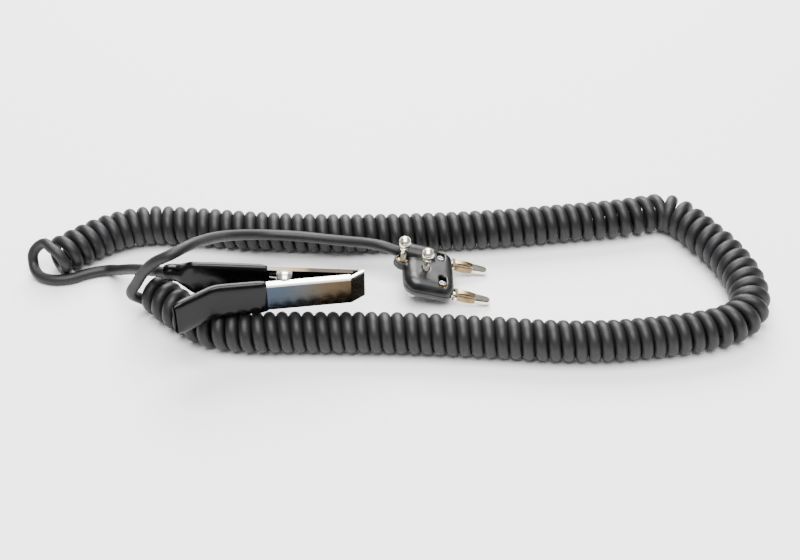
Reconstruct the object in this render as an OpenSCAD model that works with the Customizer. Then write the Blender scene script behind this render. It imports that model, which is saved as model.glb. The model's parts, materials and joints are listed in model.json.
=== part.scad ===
// Retractile grounding cord: spring clip with sleeved handles, curly cord, twin-pin plug.
// Millimetres. +X points from the clip's handles to the plug's pins, +Z is up, and the
// surface that the cord lies on is Z = 0. The origin is under the middle of clip and plug.

/* [Cord] */
// Diameter of the straight cord
cord_d = 4.4; // [4:0.1:5]
// Outer diameter of the curled cord
coil_d = 16.4; // [15:0.1:17]

/* [Clip] */
// Turn of the clip about the vertical
clip_yaw = 2.4; // [0:0.1:6]
// Sheet thickness of the stamped levers
sheet_t = 1; // [0.8:0.1:1.1]
// Width of the levers along the pivot
lever_w = 12.2; // [11:0.1:13]
// Distance of each lever's face from the clip's middle, at the pivot
half_gap = 5.1; // [4.8:0.1:5.6]
// Angle between a lever's face and the clip's middle line
lever_slope = 5.5; // [5:0.1:6]
// Extra outward turn of the near handle
flare = 30; // [20:1:34]
// Wall of the vinyl sleeves
sleeve_t = 1; // [0.8:0.1:1.2]
// Diameter of the pivot pin
pivot_d = 3; // [2.6:0.1:3.4]
// Wire diameter of the torsion spring
spring_wire = 1.1; // [0.9:0.1:1.3]

/* [Plug] */
// Nose-down pitch of the plug as it rests on its pin tips
plug_pitch = 16; // [12:1:18]
// Turn of the plug about the vertical
plug_yaw = 1.5; // [0:0.5:4]
// Body length along the pins
plug_l = 21; // [20:0.5:22]
// Body width across the pins
plug_w = 25; // [24.5:0.5:26]
// Body thickness
plug_t = 9; // [8.6:0.2:9.4]
// Wall of the plug's shells
plug_wall = 1.2; // [1:0.1:1.3]
// Distance between the pins
pin_pitch = 19.05; // [18:0.05:19.1]
// Pin diameter over its spring sleeve
pin_d = 4; // [3.8:0.1:4.2]
// Pin length outside the body
pin_l = 15.5; // [14:0.5:17]
// Backward lean of the thumbscrews
screw_lean = 10; // [0:1:12]

/* [Hidden] */
$fn = 48;

// Places on the table
clip_at = [-16.5, -9.7];
plug_at = [48.9, 17.2];
cord_at = [-0.7, -0.7, 0];
rest_gap = 0.3;
sleeve_z = coil_d + rest_gap;
lever_z = sleeve_z + sleeve_t + 0.2;
clip_mid_z = lever_z + lever_w / 2;

// Levers, in the clip's own frame: +X to the nose, pivot at the origin
nose_x = 25.3;
tip = [30.6, 1.5];
far_nose_x = 28.2;
far_flange_x = 26.4;
bend_x = -26;
near_end_x = -39;
far_end_x = -37;
sleeve_x = -7;
jaw_flange = 2.3;
grip_flange = 1.9;
ear_r = 3;
ear_gap = 0.3;
ear_clear = 0.4;
pin_clear = 0.05;
rivet_head_d = 5.8;
rivet_head_h = 1.4;
neck_x = -47;
neck_y = 11.2;
neck_d = 6.8;
neck_l = 4.5;
neck_root = [5.6, 11.6];
tongue_x = -40.6;
tongue_w = 1.8;
sleeve_gap = 0.05;
bore_gap = 0.2;

// Plug, in its own frame: +X along the pins, origin between them at the body's front
edge_r = 4;
boss_d = 8.2;
boss_at = [7, 3.2];
boss_x = [-24, -9];
lug_at = [-21.5, 2.6];
lug_r = 3.6;
lug_t = 3.2;
well_at = [-5.7, 7.9];
well_size = [3.2, 6.5];
screw_d = 2.5;
screw_head_d = 5.2;
screw_stand = 7.1;
bush_d = 4;
cord_screw_at = [-22, 2.6];
cord_screw_reach = 4.2;
middle_screw_reach = 5.4;
middle_screw_at = [-12.6, -2];
collar_d = 5.2;
collar_l = 1.2;
core_d = 3;
shank_d = 2.4;
strand_d = 1.3;
leaf_end = 8.6;
set_d = 2.6;
terminal_size = [7, 4, 4.4];
terminal_x = -3.4;
strap_t = 0.8;
post_d = 4.4;
post_at = [[-4.5, 0], [-15.9, -7.45]];
post_screw_d = 2;
post_end = 0.6;
front_corner_r = 4.2;
rear_far_r = 5;
rear_near_r = 6;

// Cord routes, chosen by hand: the coil's middle line, then the straight leads
coil_route = [
    [-114, 27.5, 8.2], [-109, 32.5, 8.2], [-104, 37, 8.2], [-97.5, 42.5, 8.2], [-90, 47, 8.2],
    [-78, 50.5, 8.2], [-64, 50, 8.2], [-35, 47, 8.2], [-14, 45.5, 8.2], [28, 45.5, 8.2],
    [70, 48.5, 8.2], [96, 52, 8.2], [128, 57, 8.2], [136, 59, 8.2], [141.5, 59.5, 8.2],
    [147.5, 55.5, 8.2], [152.5, 48.5, 8.2], [156.5, 41.5, 8.2], [160.5, 35, 8.2],
    [163.5, 28, 8.2], [166, 20.5, 8.2], [167.5, 12.5, 8.2], [167.5, 4, 8.2], [165.5, -4, 8.2],
    [160.5, -10, 8.2], [153, -14, 8.2], [144.5, -16.5, 8.2], [128.5, -19.5, 8.2],
    [113, -21.5, 8.2], [90, -22, 8.2], [66, -20, 8.2], [28, -17.5, 8.2], [-10, -17, 8.2],
    [-34, -16.5, 8.2], [-45, -14, 8.2], [-55, -7, 8.2], [-65.5, 2.5, 8.2], [-71, 9, 8.2]
];
clip_route = [
    [-117.5, 31, 14], [-120.5, 32, 12], [-123.5, 31, 8], [-123.5, 29.5, 5], [-122, 26, 3],
    [-119, 23.3, 2.3], [-114.5, 21.7, 2.3], [-107, 22.5, 2.3], [-102, 25, 2.3], [-97.5, 26.8, 2.3],
    [-92.5, 27.5, 2.6], [-87.5, 24, 5.5], [-82, 19, 10], [-76.5, 13.5, 14.5], [-70.5, 7, 19.3],
    [-67, 3.2, 22.2], [-64.6, 0.7, 23.7], [-63.2, 0.2, 24], [-59, 0.4, 24]
];
plug_route = [
    [-78, 2, 12], [-75, 1, 18], [-71.5, 0, 24.2], [-66, -1.2, 30.5], [-60, -1.2, 33.8],
    [-54.5, 3.5, 34], [-48.5, 13, 30], [-40, 26, 22], [-28, 34.2, 16], [-13.5, 35.6, 14],
    [1, 33.2, 14], [9, 31, 14.8], [16, 28.3, 16], [21.5, 25.8, 16.6], [27.2, 24.3, 15.4],
    [33, 24.5, 13.8]
];

// ---- helpers ----

function unit(v) = v / norm(v);

// Direction of a route at one of its points
function heading(route, i) =
    unit(route[min(i + 1, len(route) - 1)] - route[max(i - 1, 0)]);

// One ring of a tube: sides points round a route's point
function ring(route, i, r, sides) =
    let (along = heading(route, i), side = unit(cross([0, 0, 1], along)), up = cross(along, side))
    [for (k = [0:sides - 1]) route[i] + r * (cos(360 * k / sides) * side + sin(360 * k / sides) * up)];

module tube(route, d, sides) {
    n = len(route);
    points = [for (i = [0:n - 1]) each ring(route, i, d / 2, sides)];
    walls = [
        for (i = [0:n - 2], k = [0:sides - 1])
            let (a = i * sides + k, b = i * sides + (k + 1) % sides)
            each [[a, b + sides, b], [a, a + sides, b + sides]]
    ];
    start = [[for (k = [0:sides - 1]) k]];
    end = [[for (k = [sides - 1:-1:0]) (n - 1) * sides + k]];
    polyhedron(points = points, faces = concat(start, walls, end));
}

// A line moved sideways by d, with its corners mitred; d > 0 moves it to its left
function left(a, b) = let (u = unit(b - a)) [-u.y, u.x];
function shifted(line, d) = [
    for (i = [0:len(line) - 1])
        let (
            before = i > 0 ? left(line[i - 1], line[i]) : left(line[0], line[1]),
            after = i < len(line) - 1 ? left(line[i], line[i + 1]) : before,
            middle = unit(before + after)
        )
        line[i] + middle * d / (middle * before)
];

// The strip between a line and the same line moved sideways
module strip(line, from, to) {
    a = shifted(line, from);
    b = shifted(line, to);
    polygon(concat(a, [for (i = [len(b) - 1:-1:0]) b[i]]));
}

module place_clip(z = lever_z) {
    translate([clip_at.x, clip_at.y, z]) rotate([0, 0, clip_yaw]) children();
}

// Height of the plug's origin when its round pin tips touch the table
plug_z = pin_d / 2 + (pin_l - pin_d / 2) * sin(plug_pitch);

module place_plug() {
    translate([plug_at.x, plug_at.y, plug_z]) rotate([0, plug_pitch, plug_yaw]) children();
}

// A bar along the plug's X axis, from x = a to x = b
module rod_x(a, b, d) {
    translate([a, 0, 0]) rotate([0, 90, 0]) cylinder(h = b - a, d = d);
}

// ---- clip ----

face_y = function (x) half_gap - x * tan(lever_slope);
handle_turn = lever_slope + flare;
near_end_y = face_y(bend_x) + (bend_x - near_end_x) * tan(handle_turn);

// Outer face lines, from the handle to the nose
near_line = [[near_end_x, -near_end_y], [bend_x, -face_y(bend_x)], [nose_x, -face_y(nose_x)], tip];
far_line = [[far_end_x, face_y(far_end_x)], [far_nose_x, face_y(far_nose_x)]];

module lever_sheet(line, flange_line, side, ear_z) {
    inner_y = face_y(0) - sheet_t / 2;
    difference() {
        union() {
            linear_extrude(lever_w) strip(line, 0, side * sheet_t);
            for (z = [0, lever_w - sheet_t]) translate([0, 0, z]) linear_extrude(sheet_t)
                difference() {
                    strip(flange_line, 0, side * jaw_flange);
                    circle(r = ear_r + ear_clear);
                    translate([sleeve_x - 60, -30]) difference() {
                        square([60, 60]);
                        translate([60 - sleeve_x, 30]) strip(flange_line, 0, side * grip_flange);
                    }
                }
            // Ears that the pivot goes through, one sheet nearer the middle on the inner lever
            for (z = [ear_z, lever_w - ear_z - sheet_t + ear_gap / 2]) translate([0, 0, z])
                linear_extrude(sheet_t - ear_gap / 2) union() {
                    circle(r = ear_r);
                    translate([-ear_r, side > 0 ? -inner_y : 0]) square([2 * ear_r, inner_y]);
                }
        }
        translate([0, 0, -1]) cylinder(h = lever_w + 2, d = pivot_d + 2 * pin_clear);
    }
}

// The stamped lever on the far side, with a tongue that the cord is crimped to
module far_lever() {
    color("silver") place_clip() union() {
        lever_sheet(far_line, [far_line[0], [far_flange_x, face_y(far_flange_x)]], -1, 0);
        translate([0, 0, (lever_w - tongue_w) / 2]) linear_extrude(tongue_w)
            strip([[tongue_x, face_y(tongue_x)], far_line[0]], 0, -sheet_t);
    }
}

// The stamped lever on the near side, whose nose closes the jaw
module near_lever() {
    color("silver") place_clip() lever_sheet(near_line, [for (i = [0:2]) near_line[i]], 1, sheet_t + ear_gap / 2);
}

// A sleeve's wall round a lever's handle
module sleeve_shell(line, side) {
    in = -sleeve_gap;
    out = -sleeve_t - sleeve_gap;
    height = lever_w + 2 * sleeve_t + 0.4;
    difference() {
        linear_extrude(height) strip(line, side * out, side * (grip_flange - out));
        translate([0, 0, (height - lever_w) / 2 - sleeve_gap])
            linear_extrude(lever_w + 2 * sleeve_gap)
                strip(line, side * in, side * (grip_flange - in));
    }
}

// The sleeve on the near handle, open at its flared end
module near_grip() {
    end = sleeve_x;
    line = [near_line[0] + unit(near_line[0] - near_line[1]) * sleeve_t, near_line[1], [end, -face_y(end)]];
    color("black") place_clip(sleeve_z) sleeve_shell(line, 1);
}

// The sleeve on the far handle, drawn down to a neck that the cord comes out of
module far_grip() {
    end = sleeve_x;
    root_x = far_end_x - sleeve_t;
    line = [[root_x, face_y(root_x)], [end, face_y(end)]];
    height = lever_w + 2 * sleeve_t + 0.4;
    color("black") place_clip(sleeve_z) union() {
        sleeve_shell(line, -1);
        difference() {
            neck(root_x, height / 2, neck_root, neck_d);
            neck(root_x + 0.1, height / 2, neck_root - [1.6, 1.6], cord_d + bore_gap);
            translate([neck_x - 1, neck_y, height / 2]) rod_x(0, neck_l + 1, cord_d + bore_gap);
        }
    }
}

// The blend from a flat root on the handle to a round neck
module neck(root_x, z, root, d) {
    root_y = face_y(root_x) - grip_flange / 2;
    hull() {
        translate([root_x - 0.5, root_y - root.x / 2, z - root.y / 2]) cube([0.5, root.x, root.y]);
        translate([neck_x, neck_y, z]) rotate([0, 90, 0]) cylinder(h = neck_l, d = d, $fn = 32);
    }
}

// The pivot pin with a domed head on each side
module pivot_rivet() {
    color("gainsboro") place_clip() {
        translate([0, 0, -rivet_head_h]) rotate([180, 0, 0]) translate([0, 0, -rivet_head_h]) rivet_head();
        cylinder(h = lever_w, d = pivot_d);
        translate([0, 0, lever_w]) rivet_head();
    }
}

module rivet_head() {
    ball_r = (pow(rivet_head_d / 2, 2) + pow(rivet_head_h, 2)) / (2 * rivet_head_h);
    rotate_extrude() intersection() {
        translate([0, rivet_head_h - ball_r]) circle(r = ball_r);
        square([rivet_head_d, rivet_head_h]);
    }
}

// The spring's coil round the pivot, with a leg against each handle
module torsion_spring() {
    bore = pivot_d + 0.6;
    coil_h = 5 * spring_wire;
    z0 = (lever_w - coil_h) / 2;
    leg_x = -6;
    color("lightgray") place_clip() {
        translate([0, 0, z0]) difference() {
            cylinder(h = coil_h, d = bore + 2 * spring_wire);
            translate([0, 0, -1]) cylinder(h = coil_h + 2, d = bore);
        }
        for (s = [-1, 1]) {
            z = s < 0 ? z0 + spring_wire / 2 : z0 + coil_h - spring_wire / 2;
            start = [0, s * (bore + spring_wire) / 2, z];
            stop = [leg_x, s * (face_y(leg_x) - sheet_t - spring_wire / 2 - 0.1), z];
            wire(start, stop, spring_wire);
        }
    }
}

// A straight round wire between two points
module wire(a, b, d) {
    v = b - a;
    translate(a) rotate([0, acos(v.z / norm(v)), atan2(v.y, v.x)]) cylinder(h = norm(v), d = d);
}

// The tinned ferrule that crimps the conductor on the lever's tongue
module crimp_ferrule() {
    bundle_y = face_y(-39.4) - (sheet_t + strand_d) / 2;
    color("silver") place_clip(clip_mid_z) translate([0, bundle_y, 0]) difference() {
        rod_x(-40.4, -38.4, 3.8);
        rod_x(-41, -38, 3);
    }
}

// The bared copper strand between the jacket's end and the tongue
module clip_conductor() {
    y = face_y(-38.3) - sheet_t - strand_d / 2 - 0.05;
    color("peru") place_clip(clip_mid_z)
        tube([[-41.9, neck_y - 0.8, 0], [-41.6, neck_y - 2, 0], [-41, y + 0.1, 0], [-38.3, y, 0]], strand_d, 8);
}

// ---- cord ----

module clip_lead() {
    color("dimgray") translate(cord_at) tube(clip_route, cord_d, 8);
}

module curly_coil() {
    color("dimgray") translate(cord_at) tube(coil_route, coil_d, 12);
}

module plug_lead() {
    color("dimgray") translate(cord_at) tube(plug_route, cord_d, 8);
}

// ---- plug ----

// One corner of the body: a disc with a rounded rim
module corner(r, e, t) {
    rotate_extrude($fn = 32) intersection() {
        hull() for (z = [-1, 1]) {
            translate([r - e, z * (t / 2 - e)]) circle(r = e, $fn = 24);
            translate([0, z * (t / 2 - 0.5) - 0.5]) square([0.1, 1]);
        }
        translate([0, -t]) square([2 * r, 2 * t]);
    }
}

// The body's outer form, grown by g on every side
module body_form(g) {
    e = edge_r + g;
    t = plug_t + 2 * g;
    half = plug_w / 2;
    hull() {
        for (s = [-1, 1]) translate([-front_corner_r, s * (half - front_corner_r), 0])
            corner(front_corner_r + g, e, t);
        translate([rear_far_r - plug_l, half - rear_far_r, 0]) corner(rear_far_r + g, e, t);
        translate([rear_near_r - plug_l, rear_near_r - half, 0]) corner(rear_near_r + g, e, t);
    }
}

module half_space(up) {
    translate([-40, -30, up ? 0 : -30]) cube([60, 60, 30]);
}

module well_row(t) {
    for (s = [-1, 1]) translate([well_at.x, s * well_at.y, 0]) linear_extrude(t, center = true)
        union() {
            for (k = [-1, 1]) translate([0, k * (well_size.y - well_size.x) / 2]) circle(d = well_size.x);
            square([well_size.x, well_size.y - well_size.x], center = true);
        }
}

module pin_row() {
    for (s = [-1, 1]) translate([0, s * pin_pitch / 2, 0]) children();
}

module lean(at) {
    translate([at.x, at.y, plug_t / 2]) rotate([0, -screw_lean, 0]) children();
}

// The round lug on the cover's cord end
module lug() {
    translate([lug_at.x, lug_at.y, 0]) cylinder(h = lug_t, r = lug_r);
}

// Holes that both shells share: pins and assembly screws
module shared_holes() {
    pin_row() rod_x(-3, 2, shank_d + 0.1);
    for (p = post_at) translate([p.x, p.y, -plug_t]) cylinder(h = plug_t + 3.2, d = post_screw_d + 0.1);
}

// The lower shell, with posts for the assembly screws
module plug_base() {
    color("#202022") place_plug() difference() {
        union() {
            difference() {
                intersection() { body_form(0); half_space(false); }
                body_form(-plug_wall);
            }
            for (p = post_at) translate([p.x, p.y, post_end - plug_t / 2])
                cylinder(h = plug_t / 2 - post_end, d = post_d);
        }
        shared_holes();
    }
}

// The upper shell, with the cord boss, the thumbscrew lug and the wells over the set screws
module plug_cover() {
    color("#202022") place_plug() difference() {
        union() {
            difference() {
                intersection() {
                    union() {
                        body_form(0);
                        translate([0, boss_at.x, boss_at.y]) {
                            rod_x(boss_x[0] + 2, boss_x[1], boss_d);
                            translate([boss_x[0] + 2, 0, 0]) scale([0.5, 1, 1]) sphere(d = boss_d);
                        }
                    }
                    half_space(true);
                }
                body_form(-plug_wall);
            }
            lug();
            for (p = post_at) translate([p.x, p.y, 0]) cylinder(h = plug_t / 2 - post_end, d = post_d);
        }
        shared_holes();
        lean(cord_screw_at) translate([0, 0, -plug_t]) cylinder(h = plug_t, d = bush_d);
        for (at = [cord_screw_at, middle_screw_at]) lean(at) translate([0, 0, -5])
            cylinder(h = 8, d = screw_d + 0.6);
        translate([0, 0, plug_t / 2]) well_row(5);
        translate([0, boss_at.x, boss_at.y]) rod_x(boss_x[0] - 1, boss_x[0] + 10, cord_d + bore_gap);
    }
}

// A banana pin: a core with a collar at the body and a long round tip
module banana_pin(side) {
    r = pin_d / 2;
    color("gainsboro") place_plug() translate([0, side * pin_pitch / 2, 0]) {
        rod_x(-8, 0.1, shank_d);
        rod_x(0.05, leaf_end, core_d);
        rod_x(leaf_end, pin_l - r, pin_d);
        rod_x(0.05, collar_l, collar_d);
        translate([pin_l - r, 0, 0]) rotate([0, 90, 0]) rotate_extrude() intersection() {
            circle(r = r);
            square(r);
        }
    }
}

// The spring sleeve that grips the socket, drawn as a plain tube
module pin_spring(side) {
    color("goldenrod") place_plug() translate([0, side * pin_pitch / 2, 0]) difference() {
        rod_x(collar_l + 0.05, leaf_end - 0.05, pin_d);
        rod_x(0, pin_l, core_d + 0.1);
    }
}

module front_pin() { banana_pin(-1); }
module rear_pin() { banana_pin(1); }
module front_pin_spring() { pin_spring(-1); }
module rear_pin_spring() { pin_spring(1); }

// The brass block that a pin and its set screw meet in
module terminal(side) {
    color("goldenrod") place_plug() difference() {
        union() {
            translate([terminal_x - terminal_size.x, side * 7.4 - terminal_size.y / 2, -terminal_size.z / 2])
                cube(terminal_size);
            translate([0, side * pin_pitch / 2, 0]) rod_x(terminal_x - terminal_size.x, terminal_x, 3.2);
        }
        translate([0, side * pin_pitch / 2, 0]) rod_x(-8.2, 0, shank_d + 0.1);
        translate([well_at.x, side * well_at.y, 0]) cylinder(h = 5, d = set_d + 0.1);
    }
}

module front_terminal() { terminal(-1); }
module rear_terminal() { terminal(1); }

// The slotted set screws under the wells
module set_screws() {
    color("gainsboro") place_plug() for (s = [-1, 1])
        translate([well_at.x, s * well_at.y, shank_d / 2 + 0.15]) difference() {
            cylinder(h = 2, d = set_d);
            translate([-set_d, -0.25, 1.4]) cube([2 * set_d, 0.5, 1]);
        }
}

// The strap that joins both terminals to the clamp block
module contact_strap() {
    z = -terminal_size.z / 2 - strap_t;
    color("peru") place_plug() difference() {
        union() {
            translate([-9.5, -7.4, z]) cube([5.8, 14.8, strap_t]);
            translate([-16, -4.5, z]) cube([8, 6, strap_t]);
        }
        for (p = post_at) translate([p.x, p.y, -5]) cylinder(h = 10, d = post_d + 0.4);
    }
}

// The brass block under the middle thumbscrew
module clamp_block() {
    color("goldenrod") place_plug() difference() {
        translate([-16, -4.5, -terminal_size.z / 2]) cube([7, 5.6, 3.8]);
        lean(middle_screw_at) translate([0, 0, -plug_t]) cylinder(h = plug_t, d = screw_d + 2 * pin_clear);
    }
}

// The threaded brass bush in the lug
module lug_bush() {
    color("goldenrod") place_plug() lean(cord_screw_at) difference() {
        translate([0, 0, -4.1]) cylinder(h = 2.7, d = bush_d);
        translate([0, 0, -7]) cylinder(h = 6, d = screw_d + 2 * pin_clear);
    }
}

// The bared copper strand from the jacket's end to the clamp block
module plug_conductor() {
    color("peru") place_plug()
        tube([[-13.8, boss_at.x, boss_at.y - 0.6], [-13.2, 6.2, 1.2], [-13.2, 4, 0.3], [-13.2, 1.3, 0]], strand_d, 8);
}

// A thumbscrew with a ball head
module thumbscrew(at, reach) {
    ball = screw_head_d / 2;
    color("gainsboro") place_plug() lean(at) {
        translate([0, 0, -reach]) cylinder(h = reach + screw_stand - ball / 2, d = screw_d);
        translate([0, 0, screw_stand - ball - 0.6]) cylinder(h = 1.2, d = screw_d + 1);
        translate([0, 0, screw_stand]) sphere(r = ball);
    }
}

module cord_thumbscrew() { thumbscrew(cord_screw_at, cord_screw_reach); }
module middle_thumbscrew() { thumbscrew(middle_screw_at, middle_screw_reach); }

// The two screws that hold the shells together, entered from below
module assembly_screws() {
    color("gainsboro") place_plug() for (p = post_at) translate([p.x, p.y, -plug_t / 2 - 0.05]) {
        cylinder(h = plug_t - 1.6, d = post_screw_d);
        mirror([0, 0, 1]) cylinder(h = 0.9, d = 3.8);
    }
}

far_lever();
near_lever();
far_grip();
near_grip();
pivot_rivet();
torsion_spring();
crimp_ferrule();
clip_conductor();
clip_lead();
curly_coil();
plug_lead();
plug_base();
plug_cover();
front_pin();
rear_pin();
front_pin_spring();
rear_pin_spring();
front_terminal();
rear_terminal();
set_screws();
contact_strap();
clamp_block();
lug_bush();
plug_conductor();
cord_thumbscrew();
middle_thumbscrew();
assembly_screws();
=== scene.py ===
# %% [markdown]
# # A retractile grounding cord, finished in Blender
# The object is a curly cord with a spring clip on one end and a twin-pin plug on the other.
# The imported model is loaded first, as a fixed frame: it says where everything is, in metres.
# Each step below makes one real piece round that frame, and then says which CAD solid it
# stands for and which moving body it rides on.

# %% Load the frame
import json
import math

import bmesh
import bpy
import numpy as np
from mathutils import Matrix, Vector


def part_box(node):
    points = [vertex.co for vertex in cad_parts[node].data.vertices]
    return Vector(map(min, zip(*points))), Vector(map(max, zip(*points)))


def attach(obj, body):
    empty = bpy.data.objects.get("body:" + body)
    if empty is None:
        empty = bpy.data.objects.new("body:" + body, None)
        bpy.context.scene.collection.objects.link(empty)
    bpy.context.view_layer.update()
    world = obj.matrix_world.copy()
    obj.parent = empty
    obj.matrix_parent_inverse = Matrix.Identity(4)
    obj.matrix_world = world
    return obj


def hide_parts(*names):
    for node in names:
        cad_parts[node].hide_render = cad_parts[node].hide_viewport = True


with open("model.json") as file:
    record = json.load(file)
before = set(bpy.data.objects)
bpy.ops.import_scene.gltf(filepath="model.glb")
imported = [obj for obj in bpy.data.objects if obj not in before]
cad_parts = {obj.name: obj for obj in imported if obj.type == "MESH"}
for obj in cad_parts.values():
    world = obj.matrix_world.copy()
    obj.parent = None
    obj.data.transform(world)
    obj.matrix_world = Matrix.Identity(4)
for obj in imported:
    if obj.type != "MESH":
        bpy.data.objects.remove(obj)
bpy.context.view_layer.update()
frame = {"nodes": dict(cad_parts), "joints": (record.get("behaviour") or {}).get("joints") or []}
nodes = frame["nodes"]
MM = 0.001

# %% [markdown]
# ## Camera
# A camera is an object like any other. This one stands in front of the table and looks
# down at it by 40 degrees. It sits back along its own view line from the point that it
# aims at, so a longer lens and a longer distance keep the same framing with less perspective.

# %% Camera
aim = Vector((0.0276, 0.0235, 0.0))
distance = 0.577
look_down = math.radians(40)
camera_data = bpy.data.cameras.new("camera")
camera_data.sensor_width = 36
camera_data.lens = 62.8
camera = bpy.data.objects.new("camera", camera_data)
bpy.context.scene.collection.objects.link(camera)
back = Vector((0, -math.cos(look_down), math.sin(look_down)))
camera.location = aim + distance * back
camera.rotation_euler = (math.pi / 2 - look_down, 0, 0)
bpy.context.scene.camera = camera
print("camera at", tuple(round(x, 4) for x in camera.location))

# %% [markdown]
# ## Small helpers
# Colours are written as the sRGB hex codes that a paint program shows, and Blender wants
# linear light, so one function converts them. One more function adds a node to a tree,
# with its settings and links, and both materials and Geometry Nodes use it.


# %% Helpers for colours and nodes
def linear(code):
    """An sRGB hex colour as linear RGBA."""
    channels = [int(code[i : i + 2], 16) / 255 for i in (1, 3, 5)]
    return [c / 12.92 if c <= 0.04045 else ((c + 0.055) / 1.055) ** 2.4 for c in channels] + [1]


def add_node(tree, kind, inputs=None, **settings):
    """A new node. Each input is a value, or the output socket that it is linked to."""
    node = tree.nodes.new(kind)
    for name, value in settings.items():
        setattr(node, name, value)
    for name, value in (inputs or {}).items():
        if isinstance(value, bpy.types.NodeSocket):
            tree.links.new(value, node.inputs[name])
        else:
            node.inputs[name].default_value = value
    return node


print("a mid grey is", round(linear("#808080")[0], 3), "in linear light")

# %% [markdown]
# ## Materials
# Every finish starts from the real one. A surface is three things to the eye: its colour, how
# sharp its reflections are, and the fine relief that breaks them up. So each material below
# is one Principled shader, with noise of a real size in millimetres on its roughness and its
# relief. Object coordinates are metres here, so a noise scale is one over a size in metres.


# %% The parts that all materials share
# A noise runs from 0 to 1, but nearly all of it lies between these two values
NOISE_RANGE = {"From Min": 0.3, "From Max": 0.7}
# A Mix node has sockets for numbers, vectors and colours, so its colour sockets go by number
MIX_SHARE, MIX_FROM, MIX_TO, MIX_COLOUR = 0, 6, 7, 2


def new_material(name, **constants):
    """A material, its node tree, its shader and its Object coordinates."""
    material = bpy.data.materials.new(name)
    material.use_nodes = True
    tree = material.node_tree
    shader = tree.nodes["Principled BSDF"]
    for socket, value in constants.items():
        shader.inputs[socket.replace("_", " ")].default_value = value
    place = add_node(tree, "ShaderNodeTexCoord").outputs["Object"]
    return material, tree, shader, place


def grain(tree, place, size_mm, detail=2.0, stretch=(1, 1, 1)):
    """Noise with lumps of about size_mm, drawn out along an axis where stretch is under 1."""
    mapped = add_node(tree, "ShaderNodeMapping", {"Vector": place, "Scale": stretch})
    inputs = {"Vector": mapped.outputs["Vector"], "Scale": 1 / (size_mm * MM), "Detail": detail}
    return add_node(tree, "ShaderNodeTexNoise", inputs).outputs["Fac"]


def tint_patches(tree, shader, noise, first, second):
    """The surface's colour goes from one hex colour to another where the noise rises."""
    reach = add_node(tree, "ShaderNodeMapRange", {"Value": noise, **NOISE_RANGE})
    ends = {MIX_FROM: linear(first), MIX_TO: linear(second)}
    inputs = {MIX_SHARE: reach.outputs["Result"], **ends}
    tint = add_node(tree, "ShaderNodeMix", inputs, data_type="RGBA").outputs[MIX_COLOUR]
    tree.links.new(tint, shader.inputs["Base Color"])


def gloss_patches(tree, shader, noise, smooth, rough, noise_range=NOISE_RANGE):
    """The surface's roughness goes from smooth to rough where the noise rises."""
    inputs = {"Value": noise, **noise_range, "To Min": smooth, "To Max": rough}
    reach = add_node(tree, "ShaderNodeMapRange", inputs)
    tree.links.new(reach.outputs["Result"], shader.inputs["Roughness"])


def relief(tree, shader, noise, depth_mm, strength):
    """The noise stands up from the surface by a real depth."""
    inputs = {"Height": noise, "Distance": depth_mm * MM, "Strength": strength}
    bump = add_node(tree, "ShaderNodeBump", inputs)
    tree.links.new(bump.outputs["Normal"], shader.inputs["Normal"])


print("material helpers are ready")


# %% [markdown]
# ### Moulded and dipped plastics
# The cord's jacket is extruded polyurethane. It is charcoal and satin, with a faint grey bloom,
# and its skin has a fine matt grain that spreads every highlight along the ridge of a turn.
# The grips are plastisol: the steel handles were dipped in liquid vinyl and baked, so the skin
# is as smooth as paint and the highlights are sharp, with a slow orange-peel wobble.
# The plug is moulded ABS from a spark-eroded tool, which leaves a fine even texture.


# %% Cord jacket, dipped vinyl and moulded ABS
def polyurethane_jacket():
    material, tree, shader, place = new_material("polyurethane_jacket", IOR=1.5)
    shader.inputs["Specular IOR Level"].default_value = 0.42
    tint_patches(tree, shader, grain(tree, place, 9, 3), "#080809", "#101012")
    # The real grain is about 0.05 mm wide, and is drawn coarser so that it shows
    fine = grain(tree, place, 0.45, 4)
    gloss_patches(tree, shader, fine, 0.46, 0.6)
    relief(tree, shader, fine, 0.05, 0.5)
    return material


def dipped_vinyl():
    material, tree, shader, place = new_material("dipped_vinyl", IOR=1.5)
    shader.inputs["Base Color"].default_value = linear("#040405")
    shader.inputs["Specular IOR Level"].default_value = 0.22
    gloss_patches(tree, shader, grain(tree, place, 5, 3), 0.16, 0.28)
    orange_peel = grain(tree, place, 2.2, 1)
    relief(tree, shader, orange_peel, 0.05, 0.5)
    return material


def moulded_abs():
    material, tree, shader, place = new_material("moulded_abs", IOR=1.53)
    handled = grain(tree, place, 6, 3)
    tint_patches(tree, shader, handled, "#0a0a0b", "#111112")
    # A narrower range of the noise gives the handled patches a clearer edge in the gloss
    gloss_patches(tree, shader, handled, 0.3, 0.44, {"From Min": 0.42, "From Max": 0.58})
    spark_texture = grain(tree, place, 0.3, 3)
    relief(tree, shader, spark_texture, 0.03, 0.5)
    return material


jacket = polyurethane_jacket()
vinyl = dipped_vinyl()
abs_plastic = moulded_abs()
print("plastics:", jacket.name, vinyl.name, abs_plastic.name)


# %% [markdown]
# ### Plated and plain metals
# A metal's colour is the colour of its reflections, so the base colour is the metal's own
# tint and the shader is fully metallic. The levers are bright nickel on rolled steel: the
# rolling left faint lines along the strip, and the plate is tarnished straw and brown towards
# the jaw, where fingers and solder flux reach it. On top of that, the plate's colours are
# painted far darker than nickel, darkest at the jaw's nose, as painted dark reflection, and the
# near lever has a painted highlight along its top edge.


# %% Nickel plate with a tarnished jaw, painted dark reflection and a painted highlight rim
# Tints from the pivot to the jaw's tip: (share of the way, colour). The straw and brown are
# tarnish; how dark they all are, darkest at the tip, is painted dark reflection
tarnish_and_painted_reflection = [
    (0.0, "#3b434e"), (0.25, "#43474c"), (0.42, "#4a453e"), (0.55, "#4d4133"), (0.85, "#43382a"),
    (1.0, "#1c1812"),
]
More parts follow.
